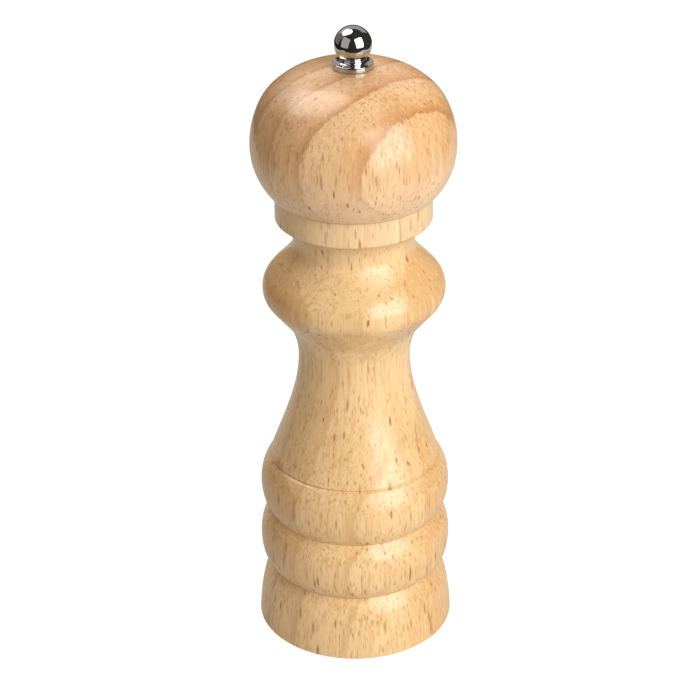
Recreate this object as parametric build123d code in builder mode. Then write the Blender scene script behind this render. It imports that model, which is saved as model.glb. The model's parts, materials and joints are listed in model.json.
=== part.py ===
from build123d import *

import os
from math import cos, radians, sin

# Wooden pepper mill, 20 cm tall: turned body and head, chromed finial knob, steel grinder.
#
# The origin is the centre of the base, and +Z points up the turning axis. Sizes are
# millimetres. Outlines of turned pieces are drawn in the XZ plane, as (radius, height), and
# revolved.

# ---- Driving dimensions -------------------------------------------------------------------

foot_radius = 31.9           # widest part of the base
foot_chamfer = 0.35
neck_radius = 17.65          # narrowest place of the neck
bulb_radius = 28.58          # widest place of the bulb above it
bulb_equator = 120.4
cove_radius = 18.87          # narrowest place of the cove under the collar
collar_radius = 24.3         # plain band at the body's top, just under the head
collar_top = 152.1
seam_gap = 0.15              # daylight between the body's top face and the head
head_radius = 31.4           # widest part of the head
head_equator = 168.0         # height of that widest part

bore_radius = 12.5           # peppercorn reservoir
housing_bore_radius = 14.7   # wider bore that takes the grinder housing
ledge_height = 8.5           # ceiling of the recess in the base, where the housing's flange sits
recess_radius = 21.8

shaft_side = 6.0             # square drive shaft
shaft_chamfer = 0.3
square_slip = 0.05           # clearance on each side of a square hole round the shaft
thread_radius = 2.48         # plain stand-in for the M5 thread at the shaft's top
thread_slip = 0.07           # clearance of the finial's hole round it
pivot_radius = 2.4
running_clearance = 0.08

plate_thickness = 1.5        # flange, bottom bar and drive plate are all stamped from this
screw_circle = 18.4          # bottom bar and flange screws, from the axis
plate_screw_circle = 8.4     # drive plate screws, from the axis
screw_shank = 1.45           # radius of the bottom bar's and the flange's screws
plate_screw_shank = 1.2      # radius of the drive plate's screws
pilot_slip = 0.05            # how much wider a pilot hole is than its screw
plate_hole_slip = 0.2        # how much wider a screw's hole in a plate is
pilot_depth = 12.0
plate_pilot_depth = 9.5
lead_in = 0.5                # chamfer on the ends of shafts, tenon and thread
face_gap = 0.02              # daylight between faces that only just touch
wide_gap = 0.05              # the same where one of them turns or slides

# Heights of the grinder, from the bottom bar up.
bar_bottom = 2.0
rotor_bottom = 7.5
rotor_top = 20.5
stator_bottom = 8.5
stator_top = 20.0
throat_height = 14.0         # narrowest place of the stator
hub_bottom = 31.8            # underside of the bridge in the housing's top
housing_top = 34.2
housing_bore_top = 34.4      # above this the body's bore cones in to the reservoir

grind_gap = 0.35             # radial gap of the fine teeth at rest
flare_slope = 0.29           # radius gained per millimetre of height in the fine teeth

seat_height = 191.9          # face on the head's crown that the finial bears on
tenon_bottom = 138.5
tenon_radius = 12.2
shaft_top = 199.3
shoulder_height = 184.5      # where the square shaft turns down to its thread

os.makedirs("parts", exist_ok=True)


def save(piece, name):
    """Labels a finished piece and writes it as parts/NAME.step."""
    piece.part.label = name
    export_step(piece.part, f"parts/{name}.step")


def tooth_planes(count, radius, height, cone_slope, helix_deg, first_deg=0.0):
    """Planes across slanted grooves on a cone whose radius grows by cone_slope per mm upwards.

    Each plane's normal runs along its groove, and its Y axis points away from the cone's axis.
    """
    lean = Vector(cone_slope, 0, 1).normalized()
    outward = Vector(1, 0, -cone_slope).normalized()
    along = lean * cos(radians(helix_deg)) + Vector(0, 1, 0) * sin(radians(helix_deg))
    middle = Vector(radius, 0, height)
    planes = []
    for i in range(count):
        turn = first_deg + 360 * i / count
        planes.append(
            Plane(
                origin=middle.rotate(Axis.Z, turn),
                x_dir=outward.cross(along).rotate(Axis.Z, turn),
                z_dir=along.rotate(Axis.Z, turn),
            )
        )
    return planes


# ---- Body: foot, two beads, flared neck, bulb, cove and collar, turned from one block -------

with BuildPart() as body:
    with BuildSketch(Plane.XZ):
        with BuildLine():
            # Foot: slightly barrelled side that rolls over into the first groove.
            base_edge = Line((recess_radius, 0), (foot_radius - foot_chamfer, 0))
            foot_edge = Line(base_edge @ 1, (foot_radius, foot_chamfer))
            foot_side = ThreePointArc(foot_edge @ 1, (31.35, 7), (30.35, 13))
            foot_shoulder = TangentArc(foot_side @ 1, (27.15, 20.5), tangent=foot_side % 1)
            # Lower bead.
            bead_2 = ThreePointArc((30.5, 26), (30.93, 30.6), (30.45, 35))
            TangentArc(bead_2 @ 0, foot_shoulder @ 1, tangent=bead_2 % 0 * -1)
            bead_2_top = TangentArc(bead_2 @ 1, (27.2, 40.8), tangent=bead_2 % 1)
            # Upper bead.
            bead_3 = ThreePointArc((30.05, 46.3), (30.53, 50.4), (30.1, 54.5))
            TangentArc(bead_3 @ 0, bead_2_top @ 1, tangent=bead_3 % 0 * -1)
            bead_3_top = TangentArc(bead_3 @ 1, (27.45, 60.2), tangent=bead_3 % 1)
            # Shallow V cut, then the neck sweeps in and out again.
            quirk = Line(bead_3_top @ 1, (26.6, 60.8))
            neck_lip = Line(quirk @ 1, (27.1, 61.3))
            neck = Spline(
                neck_lip @ 1, (23.86, 70), (20.42, 80), (18.14, 90), (neck_radius, 96.5)
            )
            neck_top = TangentArc(neck @ 1, (19.6, 106), tangent=(0, 1))
            # Bulb.
            bulb_low = Spline(
                neck_top @ 1,
                (22.35, 110),
                (26.45, 115),
                (bulb_radius, bulb_equator),
                tangents=(neck_top % 1, (0, 1)),
            )
            # Upper side of the bulb, sweeping in to the cove under the collar.
            bulb_high = Spline(
                bulb_low @ 1,
                (26.27, 126),
                (22.42, 130),
                (19.4, 134),
                (cove_radius, 137.2),
                tangents=((0, 1), (0, 1)),
            )
            cove_high = TangentArc(bulb_high @ 1, (22.6, 143.4), tangent=(0, 1))
            # The collar.
            collar_under = Line(cove_high @ 1, (23.7, 143.6))
            collar_edge = RadiusArc(collar_under @ 1, (collar_radius, 144.3), -0.7)
            collar_side = Line(collar_edge @ 1, (collar_radius, collar_top - 0.3))
            Polyline(
                collar_side @ 1,
                (collar_radius - 0.3, collar_top),
                (bore_radius + lead_in, collar_top),
                (bore_radius, collar_top - lead_in),
                (bore_radius, housing_bore_top + housing_bore_radius - bore_radius),
                (housing_bore_radius, housing_bore_top),
                (housing_bore_radius, ledge_height),
                (recess_radius, ledge_height),
                base_edge @ 0,
            )
        make_face()
    revolve(axis=Axis.Z)
    # Pilot holes for the bottom bar's and the flange's screws, drilled up from the recess.
    with BuildSketch(Plane.XY.offset(ledge_height)):
        with PolarLocations(screw_circle, 4):
            Circle(screw_shank + pilot_slip)
    extrude(amount=pilot_depth, mode=Mode.SUBTRACT)

# ---- Head: flattened ball with a tenon that turns in the body's bore ------------------------

head_bottom = collar_top + seam_gap
seat_depth = 0.1             # shallow recess in the crown round the finial
seat_radius = 6.6
thread_hole_radius = 2.8     # hole through the crown for the shaft's thread
shaft_hole_radius = 4.7      # bore up the head for the square shaft

with BuildPart() as head:
    with BuildSketch(Plane.XZ):
        with BuildLine():
            head_low = ThreePointArc(
                (25.5, head_bottom + 0.4), (28.62, 157), (head_radius, head_equator)
            )
            head_mid = TangentArc(head_low @ 1, (28.1, 181), tangent=(0, 1))
            crown = Spline(
                head_mid @ 1,
                (23.86, 186),
                (21.2, 188),
                (17.4, 190),
                (10.8, 191.72),
                (7.2, seat_height + seat_depth),
                tangents=(head_mid % 1, (-1, 0)),
            )
            Polyline(
                crown @ 1,
                (seat_radius, seat_height + seat_depth),
                (seat_radius, seat_height),
                (thread_hole_radius, seat_height),
                (thread_hole_radius, 188.0),
                (shaft_hole_radius, 187.0),
                (shaft_hole_radius, tenon_bottom),
                (tenon_radius - lead_in, tenon_bottom),
                (tenon_radius, tenon_bottom + lead_in),
                (tenon_radius, head_bottom),
                (24.8, head_bottom),
                head_low @ 0,
            )
        make_face()
    revolve(axis=Axis.Z)
    # Pilot holes for the drive plate screws.
    with BuildSketch(Plane.XY.offset(tenon_bottom)):
        with Locations((plate_screw_circle, 0), (-plate_screw_circle, 0)):
            Circle(plate_screw_shank + pilot_slip)
    extrude(amount=plate_pilot_depth, mode=Mode.SUBTRACT)

# ---- Finial: one turned knob, a ball on a coved neck and a crisp flange ---------------------

finial_bottom = seat_height + wide_gap
ball_top = 204.85
ball_radius = 5.7
ball_equator = ball_top - ball_radius
ball_sweep = 133.3           # degrees of the ball from its top down to the neck
flange_rim_radius = 6.15     # the flange that bears on the crown
flange_top = 193.75
flange_edge = 0.12           # chamfer round its edges

with BuildPart() as finial:
    with BuildSketch(Plane.XZ):
        with BuildLine():
            ball = CenterArc((0, ball_equator), ball_radius, 90, -ball_sweep)
            neck_cove = ThreePointArc(ball @ 1, (4.3, 194.4), (5.0, flange_top + 0.08))
            Polyline(
                neck_cove @ 1,
                (flange_rim_radius - flange_edge, flange_top),
                (flange_rim_radius, flange_top - flange_edge),
                (flange_rim_radius, finial_bottom + flange_edge),
                (flange_rim_radius - flange_edge, finial_bottom),
                (thread_radius + thread_slip + flange_edge, finial_bottom),
                (thread_radius + thread_slip, finial_bottom + flange_edge),
                (thread_radius + thread_slip, 200.9),
                (0, 201.9),
                ball @ 0,
            )
        make_face()
    revolve(axis=Axis.Z)

# ---- Drive shaft: square bar, threaded top, turned pivot at the bottom ----------------------

pivot_bottom = bar_bottom
square_bottom = rotor_bottom + 0.3
clip_bottom = 5.7
clip_thickness = 0.8
clip_groove_radius = 1.8
groove_bottom = clip_bottom - wide_gap
groove_top = clip_bottom + clip_thickness + wide_gap

with BuildPart() as drive_shaft:
    with BuildSketch(Plane.XY.offset(square_bottom)):
        Rectangle(shaft_side, shaft_side)
    extrude(amount=shoulder_height - square_bottom)
    chamfer(drive_shaft.edges().filter_by(Axis.Z), shaft_chamfer)
    with BuildSketch(Plane.XZ):
        with BuildLine():
            Polyline(
                (0, shoulder_height - 1),
                (thread_radius, shoulder_height - 1),
                (thread_radius, shaft_top - lead_in),
                (thread_radius - lead_in, shaft_top),
                (0, shaft_top),
                close=True,
            )
        make_face()
        with BuildLine():
            Polyline(
                (0, square_bottom + 1),
                (pivot_radius, square_bottom + 1),
                (pivot_radius, groove_top),
                (clip_groove_radius, groove_top),
                (clip_groove_radius, groove_bottom),
                (pivot_radius, groove_bottom),
                (pivot_radius, pivot_bottom + lead_in),
                (pivot_radius - lead_in, pivot_bottom),
                (0, pivot_bottom),
                close=True,
            )
        make_face()
    revolve(axis=Axis.Z)

# ---- Drive plate under the head's tenon, with its two screws --------------------------------

drive_plate_bottom = tenon_bottom - plate_thickness
drive_plate_radius = 11.2
square_hole = shaft_side + 2 * square_slip

with BuildPart() as drive_plate:
    with BuildSketch(Plane.XY.offset(drive_plate_bottom)):
        Circle(drive_plate_radius)
        Rectangle(square_hole, square_hole, mode=Mode.SUBTRACT)
        with Locations((plate_screw_circle, 0), (-plate_screw_circle, 0)):
            Circle(plate_screw_shank + plate_hole_slip, mode=Mode.SUBTRACT)
    extrude(amount=plate_thickness)
    chamfer(drive_plate.faces().sort_by(Axis.Z)[0].outer_wire().edges(), 0.3)


def pan_head_screw(place, head_top, pan_radius, pan_depth, shank_radius, length):
    """Cross-slotted pan head screw that points up, its head's upper face at head_top.

    place is the (x, y) of the screw's axis.
    """
    with BuildPart() as screw:
        with BuildSketch(Plane.XZ):
            with BuildLine():
                rim = Line((pan_radius, head_top), (pan_radius, head_top - 0.4 * pan_depth))
                shoulder = TangentArc(
                    rim @ 1, (0.5 * pan_radius, head_top - pan_depth), tangent=rim % 1
                )
                Polyline(
                    shoulder @ 1,
                    (0, head_top - pan_depth),
                    (0, head_top + length),
                    (shank_radius, head_top + length - 2.2 * shank_radius),
                    (shank_radius, head_top),
                    rim @ 0,
                )
            make_face()
        revolve(axis=Axis.Z)
        with BuildSketch(Plane.XY.offset(head_top - pan_depth)):
            Rectangle(1.15 * pan_radius, 0.3 * pan_radius)
            Rectangle(0.3 * pan_radius, 1.15 * pan_radius)
        extrude(amount=0.55 * pan_depth, mode=Mode.SUBTRACT)
    screw.part.locate(Location((*place, 0)))
    return screw


plate_screw_length = 10.0

drive_plate_screws = [
    pan_head_screw((x, 0), drive_plate_bottom, 2.3, 1.5, plate_screw_shank, plate_screw_length)
    for x in (-plate_screw_circle, plate_screw_circle)
]

# ---- Grinder housing: flange and tube, and the bridge pressed into its top --------------------

tube_radius = 14.6
tube_bore = 13.4
hub_radius = 7.0
hub_bore = 5.45
bridge_width = 5.0
flange_radius = 21.2
stator_stop = 12.4           # inner radius of the lip that the stator pushes up against
lip_thickness = 0.8

with BuildPart() as grinder_housing:
    with BuildSketch(Plane.XZ):
        with BuildLine():
            Polyline(
                (tube_bore, ledge_height - plate_thickness),
                (flange_radius, ledge_height - plate_thickness),
                (flange_radius, ledge_height),
                (tube_radius, ledge_height),
                (tube_radius, housing_top),
                (tube_bore, housing_top),
                (tube_bore, stator_top + lip_thickness),
                (stator_stop, stator_top + lip_thickness),
                (stator_stop, stator_top),
                (tube_bore, stator_top),
                close=True,
            )
        make_face()
    revolve(axis=Axis.Z)
    with BuildSketch(Plane.XY.offset(ledge_height - plate_thickness)):
        with PolarLocations(screw_circle, 4):
            Circle(screw_shank + plate_hole_slip)
    extrude(amount=plate_thickness, mode=Mode.SUBTRACT)

# The bridge spans the tube with two arms, and its hub carries the spring seat.
with BuildPart() as spring_bridge:
    with BuildSketch(Plane.XY.offset(hub_bottom)):
        Circle(tube_bore)
        with BuildSketch(mode=Mode.INTERSECT):
            Circle(hub_radius)
            Rectangle(bridge_width, 2 * tube_bore)
        Circle(hub_bore, mode=Mode.SUBTRACT)
    extrude(amount=housing_top - hub_bottom)

# ---- Stator: fixed grinding ring, a funnel above its throat and fine teeth that flare below --

throat_radius = 9.4
flare_radius = throat_radius + flare_slope * (throat_height - stator_bottom)
mouth_radius = 11.8
funnel_slope = (mouth_radius - throat_radius) / (stator_top - throat_height)
fine_middle = (stator_bottom + throat_height) / 2
funnel_middle = (throat_height + stator_top) / 2
stator_slip = 0.05           # clearance of the ring in the housing's tube
fine_teeth = 36              # round the stator and round the rotor
fine_helix_deg = 22
crushing_grooves = 12
crushing_helix_deg = 30

with BuildPart() as stator_ring:
    with BuildSketch(Plane.XZ):
        with BuildLine():
            Polyline(
                (flare_radius, stator_bottom),
                (tube_bore - stator_slip, stator_bottom),
                (tube_bore - stator_slip, stator_top - face_gap),
                (mouth_radius, stator_top - face_gap),
                (throat_radius, throat_height),
                close=True,
            )
        make_face()
    revolve(axis=Axis.Z)
    # Fine V teeth in the flare.
    fine_radius = throat_radius + flare_slope * (throat_height - fine_middle)
    with BuildSketch(
        *tooth_planes(fine_teeth, fine_radius, fine_middle, -flare_slope, fine_helix_deg)
    ):
        Polygon((-0.55, -0.6), (0.55, -0.6), (0, 0.6), align=None)
    extrude(amount=3.6, both=True, mode=Mode.SUBTRACT)
    # Coarse crushing grooves in the funnel.
    funnel_radius = throat_radius + funnel_slope * (funnel_middle - throat_height)
    with BuildSketch(
        *tooth_planes(
            crushing_grooves, funnel_radius, funnel_middle, funnel_slope, crushing_helix_deg
        )
    ):
        Polygon((-1.3, -1.0), (1.3, -1.0), (0.25, 0.9), (-0.25, 0.9), align=None)
    extrude(amount=4.2, both=True, mode=Mode.SUBTRACT)

# ---- Rotor: grinding cone on the shaft, coarse spiral feed above and fine teeth below --------

rotor_knee = 13.5            # height where the fine cone meets the feed cone
rotor_edge = 0.5             # chamfer round the rotor's lower face
feed_top_radius = 5.2
feed_flutes = 8
feed_helix_deg = 38


def fine_cone(height):
    """Radius of the rotor's fine teeth, one grind_gap inside the stator's flare."""
    return throat_radius + flare_slope * (throat_height - height) - grind_gap


feed_slope = (feed_top_radius - fine_cone(rotor_knee)) / (rotor_top - rotor_knee)
rotor_fine_middle = (rotor_bottom + rotor_knee) / 2
feed_middle = (rotor_knee + rotor_top) / 2

with BuildPart() as rotor:
    with BuildSketch(Plane.XZ):
        with BuildLine():
            Polyline(
                (0, rotor_bottom),
                (fine_cone(rotor_bottom + rotor_edge) - rotor_edge, rotor_bottom),
                (fine_cone(rotor_bottom + rotor_edge), rotor_bottom + rotor_edge),
                (fine_cone(rotor_knee), rotor_knee),
                (feed_top_radius, rotor_top),
                (0, rotor_top),
                close=True,
            )
        make_face()
    revolve(axis=Axis.Z)
    with BuildSketch(
        *tooth_planes(
            fine_teeth, fine_cone(rotor_fine_middle), rotor_fine_middle, -flare_slope, fine_helix_deg
        )
    ):
        Polygon((-0.5, 0.6), (0.5, 0.6), (0, -0.6), align=None)
    extrude(amount=3.9, both=True, mode=Mode.SUBTRACT)
    feed_radius = (fine_cone(rotor_knee) + feed_top_radius) / 2
    with BuildSketch(
        *tooth_planes(feed_flutes, feed_radius, feed_middle + 0.6, feed_slope, feed_helix_deg)
    ):
        Polygon((-1.5, 1.2), (1.5, 1.2), (0.3, -0.9), (-0.3, -0.9), align=None)
    extrude(amount=5.5, both=True, mode=Mode.SUBTRACT)
    with BuildSketch(Plane.XY.offset(rotor_bottom)):
        Rectangle(square_hole, square_hole)
    extrude(amount=rotor_top - rotor_bottom, mode=Mode.SUBTRACT)

# ---- Washers, clip, spring and spring seat on the shaft ----------------------------------------

rotor_washer_thickness = 1.0
rotor_washer_radius = 6.0
spring_washer_thickness = 0.8
spring_washer_radius = 6.2
clip_radius = 4.4
seat_flange_radius = 6.4
spring_low = rotor_top + spring_washer_thickness
spring_seat_bottom = 31.0
wire_radius = 0.5
coil_radius = 5.15
coil_turns = 6

with BuildPart() as rotor_washer:
    with BuildSketch(Plane.XY.offset(rotor_bottom - rotor_washer_thickness)):
        Circle(rotor_washer_radius)
        Circle(pivot_radius + running_clearance, mode=Mode.SUBTRACT)
    extrude(amount=rotor_washer_thickness - face_gap)

with BuildPart() as retaining_clip:
    with BuildSketch(Plane.XY.offset(clip_bottom)):
        Circle(clip_radius)
        Circle(clip_groove_radius + face_gap, mode=Mode.SUBTRACT)
        with Locations((0, -3.4)):
            Rectangle(2.9, 4.4, mode=Mode.SUBTRACT)
        with Locations((2.75, 1.5), (-2.75, 1.5)):
            Circle(0.8, mode=Mode.SUBTRACT)
    extrude(amount=clip_thickness - face_gap)

with BuildPart() as spring_washer:
    with BuildSketch(Plane.XY.offset(rotor_top + face_gap)):
        Circle(spring_washer_radius)
        Rectangle(square_hole, square_hole, mode=Mode.SUBTRACT)
    extrude(amount=spring_washer_thickness - 2 * face_gap)

with BuildPart() as spring_seat:
    with BuildSketch(Plane.XY.offset(spring_seat_bottom)):
        Circle(seat_flange_radius)
    extrude(amount=hub_bottom - spring_seat_bottom - wide_gap)
    with BuildSketch(Plane.XY.offset(spring_seat_bottom)):
        Circle(hub_bore - running_clearance)
    extrude(amount=housing_top - spring_seat_bottom)
    with BuildSketch(Plane.XY.offset(spring_seat_bottom)):
        Rectangle(square_hole, square_hole)
    extrude(amount=housing_top - spring_seat_bottom, mode=Mode.SUBTRACT)

coil_length = spring_seat_bottom - spring_low - 2 * (wire_radius + wide_gap)
with BuildPart() as spring:
    with BuildLine(Plane.XY.offset(spring_low + wire_radius + wide_gap)) as coil_line:
        Helix(pitch=coil_length / coil_turns, height=coil_length, radius=coil_radius)
    with BuildSketch(Plane(coil_line.line @ 0, z_dir=coil_line.line % 0)):
        Circle(wire_radius)
    sweep(is_frenet=True)

# ---- Bottom bar: stamped bridge that holds the grinder in and steadies the shaft's pivot -------

bar_width = 9.5
bar_reach = 20.9
bend_radius = 1.6
bar_top = bar_bottom + plate_thickness
foot_bottom = ledge_height - 2 * plate_thickness

with BuildPart() as bottom_bar:
    with BuildSketch(Plane.XZ):
        with BuildLine():
            lower_right = FilletPolyline(
                (bar_reach, foot_bottom),
                (14.2, foot_bottom),
                (11.4, bar_bottom),
                (-11.4, bar_bottom),
                (-14.2, foot_bottom),
                (-bar_reach, foot_bottom),
                radius=bend_radius,
            )
            upper = FilletPolyline(
                (-bar_reach, foot_bottom + plate_thickness),
                (-13.2, foot_bottom + plate_thickness),
                (-10.4, bar_top),
                (10.4, bar_top),
                (13.2, foot_bottom + plate_thickness),
                (bar_reach, foot_bottom + plate_thickness),
                radius=bend_radius,
            )
            Line(lower_right @ 1, upper @ 0)
            Line(upper @ 1, lower_right @ 0)
        make_face()
    extrude(amount=bar_width / 2, both=True)
    with BuildSketch(Plane.XY):
        Circle(pivot_radius + running_clearance)
        with Locations((screw_circle, 0), (-screw_circle, 0)):
            Circle(screw_shank + plate_hole_slip)
    extrude(amount=ledge_height, mode=Mode.SUBTRACT)
    # Round the bar's ends to the recess.
    with BuildSketch(Plane.XY):
        Circle(bar_reach)
    extrude(amount=ledge_height, mode=Mode.INTERSECT)

pan_radius_large = 2.6
pan_depth_large = 1.9
bar_screw_length = 14.0
flange_screw_length = 12.5

bar_screws = [
    pan_head_screw(
        (x, 0), foot_bottom, pan_radius_large, pan_depth_large, screw_shank, bar_screw_length
    )
    for x in (-screw_circle, screw_circle)
]
flange_screws = [
    pan_head_screw(
        (0, y),
        foot_bottom + plate_thickness,
        pan_radius_large,
        pan_depth_large,
        screw_shank,
        flange_screw_length,
    )
    for y in (-screw_circle, screw_circle)
]

# ---- Write every piece -------------------------------------------------------------------------

save(body, "body")
save(head, "head")
save(finial, "finial_knob")
save(drive_shaft, "drive_shaft")
save(drive_plate, "drive_plate")
save(grinder_housing, "grinder_housing")
save(spring_bridge, "spring_bridge")
save(stator_ring, "stator_ring")
save(rotor, "rotor")
save(rotor_washer, "rotor_washer")
save(retaining_clip, "retaining_clip")
save(spring_washer, "spring_washer")
save(spring_seat, "spring_seat")
save(spring, "spring")
save(bottom_bar, "bottom_bar")
for side, plate_screw, bar_screw in zip(("left", "right"), drive_plate_screws, bar_screws):
    save(plate_screw, f"drive_plate_screw_{side}")
    save(bar_screw, f"bar_screw_{side}")
for side, flange_screw in zip(("front", "back"), flange_screws):
    save(flange_screw, f"flange_screw_{side}")
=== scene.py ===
import json
from math import cos, pi, radians, sin

import bmesh
import bpy
from mathutils import Matrix, Vector


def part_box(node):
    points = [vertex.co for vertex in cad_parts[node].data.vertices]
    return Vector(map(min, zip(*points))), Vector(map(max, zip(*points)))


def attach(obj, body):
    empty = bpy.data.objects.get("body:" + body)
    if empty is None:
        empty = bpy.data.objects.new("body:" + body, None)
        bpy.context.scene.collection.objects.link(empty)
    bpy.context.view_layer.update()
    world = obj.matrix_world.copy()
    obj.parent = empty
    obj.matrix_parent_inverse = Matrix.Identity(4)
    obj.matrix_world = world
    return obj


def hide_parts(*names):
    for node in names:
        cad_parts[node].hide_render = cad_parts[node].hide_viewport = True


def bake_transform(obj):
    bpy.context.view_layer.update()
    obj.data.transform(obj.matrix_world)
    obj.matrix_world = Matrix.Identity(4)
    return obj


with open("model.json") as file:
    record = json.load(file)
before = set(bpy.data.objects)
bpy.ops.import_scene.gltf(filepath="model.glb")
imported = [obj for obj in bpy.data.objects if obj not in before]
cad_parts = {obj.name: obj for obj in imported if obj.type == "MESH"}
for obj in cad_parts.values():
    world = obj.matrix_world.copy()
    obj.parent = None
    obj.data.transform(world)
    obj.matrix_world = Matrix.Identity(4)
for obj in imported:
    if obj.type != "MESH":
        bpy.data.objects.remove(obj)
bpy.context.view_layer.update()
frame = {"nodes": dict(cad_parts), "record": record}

# Meshes and materials are worked out in millimetres; the lights and the camera are in metres.
MM = 0.001


# ---- Node helpers ------------------------------------------------------------------------------


class Graph:
    """Short calls that add and link the nodes of one material."""

    def __init__(self, name):
        self.material = bpy.data.materials.new(name)
        self.material.use_nodes = True
        self.nodes = self.material.node_tree.nodes
        self.links = self.material.node_tree.links
        self.shader = self.nodes["Principled BSDF"]

    def feed(self, socket, value):
        """Links a socket to another, or sets its plain value."""
        if isinstance(value, bpy.types.NodeSocket):
            self.links.new(value, socket)
        else:
            socket.default_value = value

    def feed_named(self, node, inputs):
        """Feeds a node's sockets by name, with _ for a space."""
        for key, value in inputs.items():
            self.feed(node.inputs[key.replace("_", " ")], value)

    def add(self, kind, settings=None, **inputs):
        """Adds a node with its settings and its named inputs."""
        node = self.nodes.new(kind)
        for key, value in (settings or {}).items():
            setattr(node, key, value)
        self.feed_named(node, inputs)
        return node

    def surface(self, **inputs):
        """Feeds the shader's own inputs and returns the finished material."""
        self.feed_named(self.shader, inputs)
        return self.material

    def position(self):
        """The surface point in the mill's own frame, in millimetres."""
        coords = self.add("ShaderNodeTexCoord").outputs["Object"]
        return self.vector("SCALE", coords, scale=1 / MM)

    def vector(self, operation, a, b=None, scale=None):
        """Vector arithmetic; a length or a dot product comes out as a number."""
        node = self.add("ShaderNodeVectorMath", {"operation": operation})
        self.feed(node.inputs[0], a)
        if b is not None:
            self.feed(node.inputs[1], b)
        if scale is not None:
            self.feed(node.inputs["Scale"], scale)
        return node.outputs["Value" if operation in ("LENGTH", "DOT_PRODUCT") else "Vector"]

    def math(self, operation, *values):
        """Arithmetic on up to three numbers or sockets."""
        node = self.add("ShaderNodeMath", {"operation": operation})
        for socket, value in zip(node.inputs, values):
            self.feed(socket, value)
        return node.outputs[0]

    def times(self, a, b):
        """The product of two numbers or sockets."""
        return self.math("MULTIPLY", a, b)

    def ramp(self, value, low, high, to_low=0.0, to_high=1.0):
        """Smooth step of value from low..high to to_low..to_high."""
        node = self.add("ShaderNodeMapRange", {"interpolation_type": "SMOOTHSTEP"})
        for socket, number in zip(node.inputs, (value, low, high, to_low, to_high)):
            self.feed(socket, number)
        return node.outputs["Result"]

    def ramp_between(self, value, ends):
        """Smooth step between two (value, result) pairs."""
        (low, to_low), (high, to_high) = ends
        return self.ramp(value, low, high, to_low, to_high)

    def noise(self, vector, size, detail=2.0, roughness=0.5, colour=False):
        """Noise whose blobs are about size millimetres across; size may differ by axis."""
        sizes = size if isinstance(size, tuple) else (size, size, size)
        scaled = self.vector("MULTIPLY", vector, tuple(1 / s for s in sizes))
        inputs = {"Vector": scaled, "Scale": 1.0, "Detail": detail, "Roughness": roughness}
        node = self.add("ShaderNodeTexNoise", **inputs)
        return node.outputs["Color" if colour else "Fac"]

    def mix(self, factor, a, b):
        """Colour a turning into colour b as the factor goes from 0 to 1."""
        node = self.add("ShaderNodeMix", {"data_type": "RGBA"})
        self.feed(node.inputs[0], factor)
        for socket, colour in zip(node.inputs[6:8], (a, b)):
            self.feed(socket, colour if isinstance(colour, bpy.types.NodeSocket) else (*colour, 1))
        return node.outputs[2]

    def bump(self, height, distance_mm, strength):
        """A surface normal tilted by a height of up to distance_mm."""
        node = self.add("ShaderNodeBump", Height=height, Strength=strength, Distance=distance_mm * MM)
        return node.outputs["Normal"]


# ---- Wood --------------------------------------------------------------------------------------


def grain_position(graph, point):
    """The point moved sideways by two waves: the grain wanders, and more slowly along the trunk."""
    moved = point
    for wave_size, reach in (((38, 38, 70), 5.0), ((7, 7, 18), 1.6)):
        wave = graph.vector("SUBTRACT", graph.noise(point, wave_size, colour=True), (0.5, 0.5, 0.5))
        moved = graph.vector("ADD", moved, graph.vector("MULTIPLY", wave, (reach, reach, 0.0)))
    return moved


def growth_rings(graph, grain_point, fray, pith, first_ring, ring_width):
    """How far a point lies through its ring, from 0 to 1, and a chance value of that ring's own.

    One ring ends at about first_ring millimetres from the pith. The count starts 20 rings further
    in, so that it is positive all over the mill.
    """
    count_start = first_ring - 20 * ring_width
    across = graph.vector("MULTIPLY", graph.vector("SUBTRACT", grain_point, (*pith, 0.0)), (1, 1, 0))
    reach = graph.math("MULTIPLY_ADD", fray, 2.2, graph.vector("LENGTH", across))
    rings = graph.math("DIVIDE", graph.math("SUBTRACT", reach, count_start), ring_width)
    number = graph.math("FLOOR", rings)
    chance = graph.add("ShaderNodeTexWhiteNoise", {"noise_dimensions": "1D"}, W=number)
    return graph.math("FRACT", rings), chance.outputs["Value"]


def plane_distance(graph, point, through, normal):
    """Signed distance in millimetres of a point from a plane."""
    unit = tuple(Vector(normal).normalized())
    return graph.vector("DOT_PRODUCT", graph.vector("SUBTRACT", point, through), unit)


def streaked(graph, colour, warm, point, grain_point, fray, streaks):
    """The colour made warmer behind each streak plane, and the broken lines along the planes."""
    lines = 0.0
    for through, normal in streaks:
        plane = plane_distance(graph, grain_point, through, normal)
        away = graph.math("MULTIPLY_ADD", fray, 1.2, plane)
        behind = graph.times(graph.ramp(away, 0.0, 0.9), graph.ramp(away, 26.0, 2.0, 0.25, 0.65))
        colour = graph.mix(behind, colour, warm)
        near = graph.ramp(graph.math("ABSOLUTE", away), 0.60, 0.05)
        broken = graph.ramp(graph.noise(point, (5, 5, 13)), 0.44, 0.62)
        lines = graph.math("MULTIPLY_ADD", near, broken, lines)
    return colour, lines


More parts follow.
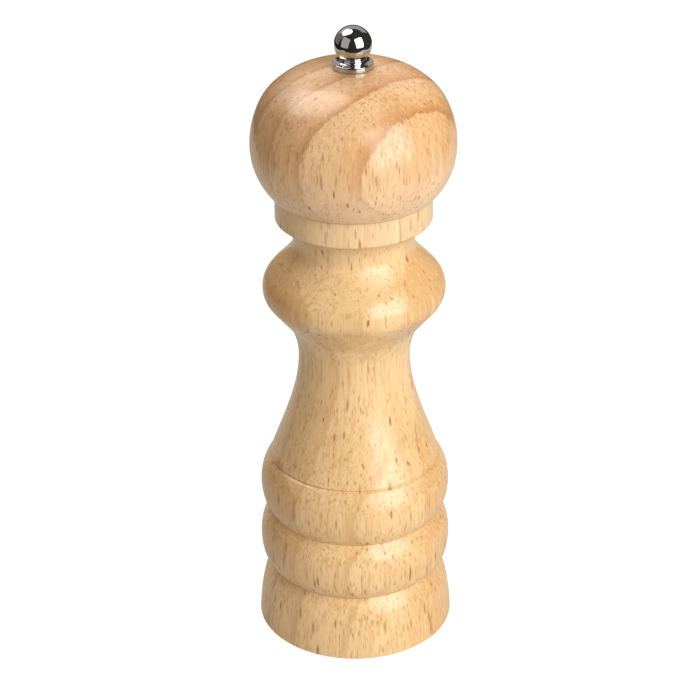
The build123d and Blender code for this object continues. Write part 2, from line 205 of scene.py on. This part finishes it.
def pores(graph, point, across, along, share, width, seed):
    """Cut vessels: long thin cells that show as dashes on the flanks and dots on end grain.

    Returns up to 1 inside a pore and 0 outside. across and along are a cell's size in
    millimetres, share is how many cells hold a pore, and width is a pore's radius as a share
    of its cell.
    """
    shifted = graph.vector("ADD", point, (seed * 7.3, seed * 3.1, seed * 11.7))
    scaled = graph.vector("MULTIPLY", shifted, (1 / across, 1 / across, 1 / along))
    cells = graph.add("ShaderNodeTexVoronoi", Vector=scaled, Scale=1.0, Randomness=1.0)
    chance = graph.add("ShaderNodeSeparateColor", Color=cells.outputs["Color"])
    wanted = graph.math("LESS_THAN", chance.outputs["Red"], share)
    size = graph.math("MULTIPLY_ADD", chance.outputs["Green"], width, width * 0.5)
    inside = graph.ramp(cells.outputs["Distance"], size, graph.times(size, 0.4))
    depth = graph.math("MULTIPLY_ADD", chance.outputs["Blue"], 0.65, 0.35)
    return graph.times(graph.times(inside, wanted), depth)


def wood(
    name,
    light,
    warm,
    dark,
    pith,
    first_ring,
    ring_width,
    ring_depth,
    paling,
    porous,
    blush,
    streaks,
    seed,
):
    """Lacquered light hardwood, with growth rings about a pith at (x, y).

    light, warm and dark are its colours; first_ring and ring_width are in millimetres.
    ring_depth is the contrast of the rings, as ((height, depth), (height, depth)).
    paling is how far the wood fades towards a straw tone, and porous how many vessels it has,
    in the same form.
    blush is a plane (point, normal), past which the wood slowly turns warmer.
    streaks are planes, each (point, normal), where the wood turns warmer behind a dark line.
    """
    graph = Graph(name)
    point = graph.position()
    height = graph.add("ShaderNodeSeparateXYZ", Vector=point).outputs["Z"]
    grain_point = grain_position(graph, point)
    # Frays the edges of the rings and streaks into fibres.
    fray = graph.noise(point, (0.8, 0.8, 7.0), 3.0, 0.7)

    # Each ring starts pale, warms slowly, and ends in a thin dark line.
    phase, ring_chance = growth_rings(graph, grain_point, fray, pith, first_ring, ring_width)
    patchy = graph.ramp(graph.noise(point, (13, 13, 40)), 0.3, 0.6, 0.55, 1.1)
    depth = graph.times(graph.ramp_between(height, ring_depth), patchy)
    warmth = graph.times(graph.math("POWER", phase, 2.4), graph.ramp(phase, 1.0, 0.94))
    line = graph.times(graph.ramp(phase, 0.80, 0.96), graph.ramp(phase, 1.0, 0.965))
    colour = graph.mix(graph.times(warmth, depth), light, warm)
    colour = graph.mix(graph.times(ring_chance, graph.times(depth, 0.28)), colour, warm)
    colour = graph.mix(graph.times(line, graph.times(depth, 0.50)), colour, dark)

    beyond = plane_distance(graph, grain_point, *blush)
    colour = graph.mix(graph.ramp(beyond, 0.0, 16.0, 0.0, 0.55), colour, warm)
    colour, streak_lines = streaked(graph, colour, warm, point, grain_point, fray, streaks)

    # Broad soft clouds of colour, then fibres: long fine streaks of tone.
    cloud = graph.noise(point, (16, 16, 34), 3.0, 0.6)
    fibre = graph.noise(grain_point, (1.2, 1.2, 44), 3.0, 0.62)
    fine = graph.noise(grain_point, (0.42, 0.42, 10), 2.0, 0.6)
    pale = tuple(min(1.0, c * 1.1) for c in light)
    colour = graph.mix(graph.ramp(cloud, 0.42, 0.75, 0.0, 0.40), colour, warm)
    colour = graph.mix(graph.ramp(fibre, 0.50, 0.70, 0.0, 0.80), colour, warm)
    colour = graph.mix(graph.ramp(fibre, 0.46, 0.28, 0.0, 0.65), colour, pale)
    colour = graph.mix(graph.ramp(fine, 0.54, 0.76, 0.0, 0.42), colour, dark)

    # Straw is the light tone moved towards white, keeping these shares of the way from it.
    straw = tuple(1 - (1 - c) * share for c, share in zip(light, (0.75, 0.74, 0.80)))
    colour = graph.mix(graph.ramp_between(height, paling), colour, straw)

    # Vessels crowd together early in each ring and in some bands, and are few in others.
    crowd = graph.ramp(graph.noise(point, (6, 6, 24)), 0.30, 0.60)
    early = graph.ramp(phase, 0.85, 0.25, 0.45, 1.0)
    busy = graph.math("MULTIPLY_ADD", graph.times(crowd, early), 0.70, 0.30)
    busy = graph.times(busy, graph.ramp_between(height, porous))
    fewer = graph.times(busy, 0.80)
    small = pores(graph, grain_point, 0.80, 7.0, busy, 0.33, seed)
    large = pores(graph, grain_point, 1.8, 13.0, fewer, 0.25, seed + 2)
    specks = pores(graph, grain_point, 0.62, 3.2, fewer, 0.38, seed + 5)
    deep = tuple(c * 0.78 for c in dark)
    colour = graph.mix(graph.times(specks, 0.50), colour, dark)
    colour = graph.mix(graph.times(small, 0.85), colour, dark)
    colour = graph.mix(large, colour, deep)
    colour = graph.mix(graph.times(streak_lines, 0.62), colour, dark)

    # Pores are slight hollows under the lacquer, which has its own very faint ripple.
    hollow = graph.math("MULTIPLY_ADD", small, 0.5, large)
    fibres = graph.math("MULTIPLY_ADD", hollow, -1.0, graph.times(fine, 0.25))
    skin = graph.math("MULTIPLY_ADD", hollow, -0.35, graph.noise(point, (2.6, 2.6, 9.0)))
    return graph.surface(
        Base_Color=colour,
        Roughness=graph.ramp(fine, 0.3, 0.8, 0.40, 0.52),
        Normal=graph.bump(fibres, 0.03, 0.35),
        Specular_IOR_Level=0.3,
        Coat_Weight=0.6,
        Coat_Roughness=0.19,
        Coat_IOR=1.5,
        Coat_Normal=graph.bump(skin, 0.02, 0.35),
    )


# ---- Metals and plastic ------------------------------------------------------------------------


def metal(name, colour, roughness, grain, depth, stain=0.12):
    """Metal with fine drawing or rolling marks, uneven gloss and slight staining."""
    graph = Graph(name)
    point = graph.position()
    marks = graph.noise(point, grain, 3.0, 0.65)
    blotch = graph.noise(point, 5.0, 4.0, 0.6)
    stained = tuple(c * 0.62 for c in colour)
    tone = graph.mix(graph.ramp(blotch, 0.45, 0.8, 0.0, stain * 2), colour, stained)
    tone = graph.mix(graph.ramp(marks, 0.5, 0.85, 0.0, stain), tone, stained)
    return graph.surface(
        Base_Color=tone,
        Roughness=graph.ramp(marks, 0.25, 0.8, roughness * 0.75, roughness * 1.3),
        Normal=graph.bump(marks, depth, 0.6),
        Metallic=1.0,
    )


def chrome(name):
    """Polished chrome plate, with the faintest orange peel and handling haze."""
    graph = Graph(name)
    point = graph.position()
    haze = graph.noise(point, 2.2, 3.0, 0.6)
    peel = graph.noise(point, 0.9, 1.0)
    clean, hazy = (0.58, 0.575, 0.575), (0.51, 0.505, 0.505)
    return graph.surface(
        Base_Color=graph.mix(graph.ramp(haze, 0.4, 0.8), clean, hazy),
        Roughness=graph.ramp(haze, 0.3, 0.8, 0.035, 0.075),
        Normal=graph.bump(peel, 0.002, 0.4),
        Metallic=0.96,
    )


def nylon(name):
    """Natural moulded nylon: slightly waxy, off-white, finely mottled."""
    graph = Graph(name)
    point = graph.position()
    mottle = graph.noise(point, 1.6, 3.0, 0.6)
    texture = graph.noise(point, 0.25)
    fresh, aged = (0.78, 0.75, 0.66), (0.70, 0.66, 0.55)
    return graph.surface(
        Base_Color=graph.mix(graph.ramp(mottle, 0.35, 0.75), fresh, aged),
        Roughness=graph.ramp(mottle, 0.3, 0.8, 0.38, 0.50),
        Normal=graph.bump(texture, 0.01, 0.4),
        Subsurface_Weight=0.12,
        Subsurface_Radius=(0.0015, 0.0012, 0.0009),
    )


# ---- Mesh helpers ------------------------------------------------------------------------------


def mesh_object(name, rings, closed_high=True, sharp_deg=32):
    """Skins a list of equal rings of points (millimetres) and closes the ends with flat faces."""
    bm = bmesh.new()
    rows = [[bm.verts.new(Vector(p) * MM) for p in ring] for ring in rings]
    count = len(rows[0])
    for low, high in zip(rows, rows[1:]):
        for i in range(count):
            j = (i + 1) % count
            bm.faces.new((low[i], low[j], high[j], high[i]))
    bm.faces.new(rows[0][::-1])
    if closed_high:
        bm.faces.new(rows[-1])
    bmesh.ops.recalc_face_normals(bm, faces=bm.faces)
    for face in bm.faces:
        face.smooth = True
    for edge in bm.edges:
        edge.smooth = edge.calc_face_angle(pi) < radians(sharp_deg)
    mesh = bpy.data.meshes.new(name)
    bm.to_mesh(mesh)
    bm.free()
    piece = bpy.data.objects.new(name, mesh)
    bpy.context.scene.collection.objects.link(piece)
    return piece


def arc(centre, radius, from_deg, to_deg, steps):
    """Points (r, z) along a circular arc in a turned piece's outline."""
    turns = [radians(from_deg + (to_deg - from_deg) * i / steps) for i in range(steps + 1)]
    return [(centre[0] + radius * cos(t), centre[1] + radius * sin(t)) for t in turns]


def circle_of(segments):
    """The angles of that many points round a circle."""
    return [2 * pi * i / segments for i in range(segments)]


def spun(outline, segments):
    """The rings of an outline of (r, z) points that is turned about the axis."""
    return [[(r * cos(t), r * sin(t), z) for t in circle_of(segments)] for r, z in outline]


# ---- Pieces remade as finer meshes -------------------------------------------------------------


def finial_piece():
    """The chromed knob: a ball on a coved neck, a crisp flange with eased edges, a blind bore."""
    low, high = (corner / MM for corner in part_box("finial_knob"))
    bottom, top = low.z, high.z
    ball_radius, ball_start, ball_end = 5.7, -43.3, 89.4
    cove_radius, cove_centre = 1.08, (5.18, bottom + 2.93)
    cove_start, cove_end = -97, -190
    rim, rim_height, edge = high.x, 1.8, 0.16
    bore, bore_depth, lead_in = 2.56, 8.5, 0.3
    flange_low, flange_high = bottom + edge, bottom + rim_height - edge
    outline = [(bore, bottom + bore_depth), (bore, bottom + lead_in), (bore + lead_in, bottom)]
    outline += arc((rim - edge, flange_low), edge, -90, 0, 6)
    outline += arc((rim - edge, flange_high), edge, 0, 90, 6)
    # The cove springs from the flange's top face and meets the ball's lower edge.
    outline += arc(cove_centre, cove_radius, cove_start, cove_end, 14)
    outline += arc((0, top - ball_radius), ball_radius, ball_start, ball_end, 64)
    return mesh_object("finial_chrome", spun(outline, 160))


def square_reach(angle, half, corner_cut):
    """Distance from the axis to a square's side at an angle, with chamfered corners."""
    x, y = abs(cos(angle)), abs(sin(angle))
    to_side = half / max(x, y)
    to_chamfer = (2 * half - corner_cut) / (x + y)
    return min(to_side, to_chamfer)


def shaft_piece():
    """Drive shaft: square bar with a cut M5 x 0.8 thread at the top and a turned pivot below."""
    low, high = (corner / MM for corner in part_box("drive_shaft"))
    half_side, corner_cut = high.x, 0.42
    crest, root, pitch = 2.48, 2.06, 0.8
    thread_length, undercut = 14.8, 0.8
    thread_lead_in, thread_lead_depth = 0.9, 0.5
    steps_per_thread = 14
    pivot_radius, pivot_chamfer = 2.4, 0.5
    groove_radius, groove_width, groove_gap = 1.8, 0.9, 0.05
    pivot_into_rotor = 0.3
    shoulder_chamfer, shoulder_inset = 0.35, 0.1
    # A sharp step in radius is spread over this height.
    step = 0.01

    groove_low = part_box("retaining_clip")[0].z / MM - groove_gap
    groove_high = groove_low + groove_width
    square_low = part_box("rotor")[0].z / MM + pivot_into_rotor
    shoulder = high.z - thread_length
    thread_low = shoulder + undercut
    angles = circle_of(96)

    def ring(z, reach):
        return [(reach(a) * cos(a), reach(a) * sin(a), z) for a in angles]

    def round_ring(z, radius):
        return ring(z, lambda angle: radius)

    def square(angle):
        return square_reach(angle, half_side, corner_cut)

    def thread(z):
        """Radius of the thread at a height and angle: one start, with flats at root and crest."""
        def reach(angle):
            turn = (z - pitch * angle / (2 * pi)) / pitch % 1.0
            ridge = 1 - abs(2 * turn - 1)
            cut = root + (crest - root) * min(1.0, max(0.0, 1.5 * ridge - 0.2))
            lead = min(1.0, (high.z - z) / thread_lead_in)
            return min(cut, crest - thread_lead_depth * (1 - lead))
        return reach

    rings = [
        round_ring(low.z, pivot_radius - pivot_chamfer),
        round_ring(low.z + pivot_chamfer, pivot_radius),
        round_ring(groove_low, pivot_radius),
        round_ring(groove_low + step, groove_radius),
        round_ring(groove_high - step, groove_radius),
        round_ring(groove_high, pivot_radius),
        round_ring(square_low, pivot_radius),
        ring(square_low + step, square),
        ring(shoulder - shoulder_chamfer, square),
        ring(shoulder, lambda angle: min(square(angle), half_side - shoulder_inset)),
        round_ring(shoulder + step, root),
        round_ring(thread_low, root),
    ]
    steps = round((high.z - thread_low) / pitch * steps_per_thread)
    for i in range(steps + 1):
        z = thread_low + (high.z - thread_low) * i / steps
        rings.append(ring(z, thread(z)))
    return mesh_object("drive_shaft_threaded", rings, sharp_deg=28)


def spring_piece():
    """Compression spring with closed end coils, between the rotor's washer and the seat."""
    low, high = (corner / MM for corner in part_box("spring"))
    wire_radius = 0.5
    coil_radius = high.x - wire_radius
    turns, steps_per_turn = 6.5, 48
    bottom, top = low.z + wire_radius, high.z - wire_radius
    total = int(turns * steps_per_turn)
    # How much the first and last coils are flattened towards their seats.
    flattening = 0.0935

    def centre(i):
        turn = i / steps_per_turn
        share = turn / turns
        eased = share - flattening * sin(2 * pi * share)
        angle = 2 * pi * turn
        height = bottom + (top - bottom) * eased
        return Vector((coil_radius * cos(angle), coil_radius * sin(angle), height))

    rings = []
    for i in range(total + 1):
        here = centre(i)
        forward = (centre(min(i + 1, total)) - centre(max(i - 1, 0))).normalized()
        side = forward.cross(Vector((here.x, here.y, 0)).normalized()).normalized()
        out = side.cross(forward).normalized()
        rings.append([here + (out * cos(t) + side * sin(t)) * wire_radius for t in circle_of(14)])
    return mesh_object("spring_coil", rings, sharp_deg=60)


# ---- Dress the CAD nodes -----------------------------------------------------------------------

# Two faint streaks run up the body, leaning together a little towards the top.
body_streaks = (
    ((-15.5, -20.8, 125), (-1, -0.45, 0.09)),
    ((16.8, -20.0, 121), (1, 0.03, 0.08)),
)
body_wood = wood(
    "body_wood",
    light=(0.82, 0.575, 0.31),
    warm=(0.66, 0.395, 0.165),
    dark=(0.45, 0.20, 0.055),
    pith=(-56, 60),
    first_ring=80,
    ring_width=13.5,
    ring_depth=((0, 0.45), (150, 0.35)),
    paling=((130, 0.0), (147, 0.42)),
    porous=((44, 1.5), (76, 0.75)),
    blush=((14, -12, 100), (1, -0.35, 0)),
    streaks=body_streaks,
    seed=1,
)
head_wood = wood(
    "head_wood",
    light=(0.83, 0.56, 0.315),
    warm=(0.61, 0.30, 0.115),
    dark=(0.44, 0.18, 0.06),
    pith=(-44, 50),
    first_ring=83.6,
    ring_width=10.7,
    ring_depth=((160, 0.40), (184, 1.10)),
    paling=((151, 0.45), (180, 0.0)),
    porous=((165, 1.0), (185, 0.85)),
    blush=((17, -14, 170), (1, -0.3, 0)),
    streaks=(),
    seed=4,
)
chrome_plate = chrome("chrome")
shaft_alloy = metal(
    "shaft_alloy", (0.78, 0.79, 0.80), roughness=0.30, grain=(0.25, 0.25, 12.0), depth=0.012
)
plated_steel = metal("plated_steel", (0.66, 0.65, 0.61), 0.30, grain=1.6, depth=0.008, stain=0.18)
screw_steel = metal("screw_steel", (0.62, 0.62, 0.61), 0.26, grain=0.5, depth=0.006, stain=0.15)
burr_steel = metal(
    "burr_steel", (0.23, 0.23, 0.24), roughness=0.38, grain=(0.35, 0.35, 0.9), depth=0.015, stain=0.22
)
spring_steel = metal("spring_steel", (0.44, 0.44, 0.45), 0.24, grain=0.4, depth=0.006, stain=0.20)
bearing_polymer = nylon("bearing_polymer")

finishes = {
    "body_wood": body_wood,
    "head_wood": head_wood,
    "chrome": chrome_plate,
    "shaft_alloy": shaft_alloy,
    "plated_steel": plated_steel,
    "screw_steel": screw_steel,
    "burr_steel": burr_steel,
    "spring_steel": spring_steel,
    "bearing_polymer": bearing_polymer,
}
for part in frame["record"]["subparts"]:
    node = frame["nodes"][part["node"]]
    for place in node.material_slots:
        place.link = "OBJECT"
        place.material = finishes[part["material_slot"]]

finial = finial_piece()
finial.data.materials.append(chrome_plate)
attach(finial, "finial")
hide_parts("finial_knob")

shaft = shaft_piece()
shaft.data.materials.append(shaft_alloy)
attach(shaft, "shaft")
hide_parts("drive_shaft")

spring = spring_piece()
spring.data.materials.append(spring_steel)
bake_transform(spring)
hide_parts("spring")


# ---- Stage: the camera sees a white sweep, and reflections and bounced light a grey table ------


def stage_material(name, shade, glow):
    """A dull grey of the given shade that glows white, so that the lights matter less to it."""
    return Graph(name).surface(
        Base_Color=(shade, shade, shade, 1),
        Roughness=0.9,
        Specular_IOR_Level=0.0,
        Emission_Color=(1, 1, 1, 1),
        Emission_Strength=glow,
    )


def sweep():
    """A round floor that curves up into a wall all the way round, farther out than the lights."""
    floor, wall_top, bend = -0.15, 2600, 900
    smallest_radius, near_radius, floor_radius = 0.001, 900, 2200
    outline = [(smallest_radius, floor), (near_radius, floor)]
    outline += arc((floor_radius, floor + bend), bend, -90, 0, 14)
    outline += [(floor_radius + bend, wall_top)]
    return mesh_object("sweep", spun(outline, 72), closed_high=False)


def table_board():
    """A thin board under the mill."""
    side, front, back = 450, -260, 600
    underside, face = -0.7, -0.5
    corners = ((-side, front), (side, front), (side, back), (-side, back))
    return mesh_object("table", [[(x, y, z) for x, y in corners] for z in (underside, face)])


backdrop = sweep()
backdrop.data.materials.append(stage_material("sweep_white", shade=0.20, glow=0.92))
backdrop.visible_glossy = False
backdrop.visible_diffuse = False
backdrop.visible_shadow = False

table = table_board()
table.data.materials.append(stage_material("table_grey", shade=0.35, glow=0.23))
table.visible_camera = False


# ---- Lights ------------------------------------------------------------------------------------


def softbox(name, azimuth, elevation, distance, width, height, radiance):
    """A rectangular soft light aimed at the mill; azimuth 0 is in front, positive to the right.

    Angles are in degrees and sizes in metres. The radiance is that of the rectangle's face.
    """
    target = Vector((0, 0, 0.11))
    light = bpy.data.lights.new(name, "AREA")
    light.shape = "RECTANGLE"
    light.size = width
    light.size_y = height
    light.energy = radiance * pi * width * height
    lamp = bpy.data.objects.new(name, light)
    turn, rise = radians(azimuth), radians(elevation)
    offset = Vector((cos(rise) * sin(turn), -cos(rise) * cos(turn), sin(rise))) * distance
    lamp.location = target + offset
    lamp.rotation_euler = offset.to_track_quat("Z", "Y").to_euler()
    lamp.visible_camera = False
    bpy.context.scene.collection.objects.link(lamp)
    return lamp


softbox("key_right", 43, 25, distance=1.15, width=0.95, height=1.15, radiance=5.4)
softbox("fill_left", -52, 23, distance=1.15, width=1.05, height=1.20, radiance=0.56)
top = softbox("top", -121, 62, distance=1.10, width=0.72, height=0.92, radiance=4.5)
rear_light = softbox("rear_light", 180, 38, distance=1.7, width=2.2, height=0.9, radiance=4.4)
rear_wall = softbox("rear_wall", 180, 38, distance=1.6, width=2.6, height=1.2, radiance=0.46)
left_wall = softbox("left_wall", -125, 24, distance=2.0, width=2.4, height=2.2, radiance=0.20)
top.data.shape = "ELLIPSE"
rear_light.visible_glossy = False
# These three only show as reflections, in the chrome and the lacquer.
for reflection in (top, rear_wall, left_wall):
    reflection.visible_diffuse = False

# A dim warm surround lifts the shadows, and is kept out of the reflections.
world = bpy.data.worlds.new("studio_dark")
bpy.context.scene.world = world
world.use_nodes = True
background = world.node_tree.nodes["Background"]
background.inputs["Color"].default_value = (0.18, 0.12, 0.03, 1)
background.inputs["Strength"].default_value = 1.0
world.cycles_visibility.glossy = False
bpy.context.scene.view_settings.view_transform = "Standard"


# ---- Camera ------------------------------------------------------------------------------------

pitch_down, yaw_left, roll = 28.048, 0.13, -0.31
camera_data = bpy.data.cameras.new("camera")
camera_data.sensor_width = 36
camera_data.lens = 110.27
camera_data.clip_start = 0.01
camera_data.clip_end = 20
camera = bpy.data.objects.new("camera", camera_data)
bpy.context.scene.collection.objects.link(camera)
camera.matrix_world = (
    Matrix.Translation((0, -0.600, 0.4167))
    @ Matrix.Rotation(radians(yaw_left), 4, "Z")
    @ Matrix.Rotation(radians(90 - pitch_down), 4, "X")
    @ Matrix.Rotation(radians(roll), 4, "Z")
)
bpy.context.scene.camera = camera

bpy.context.view_layer.update()
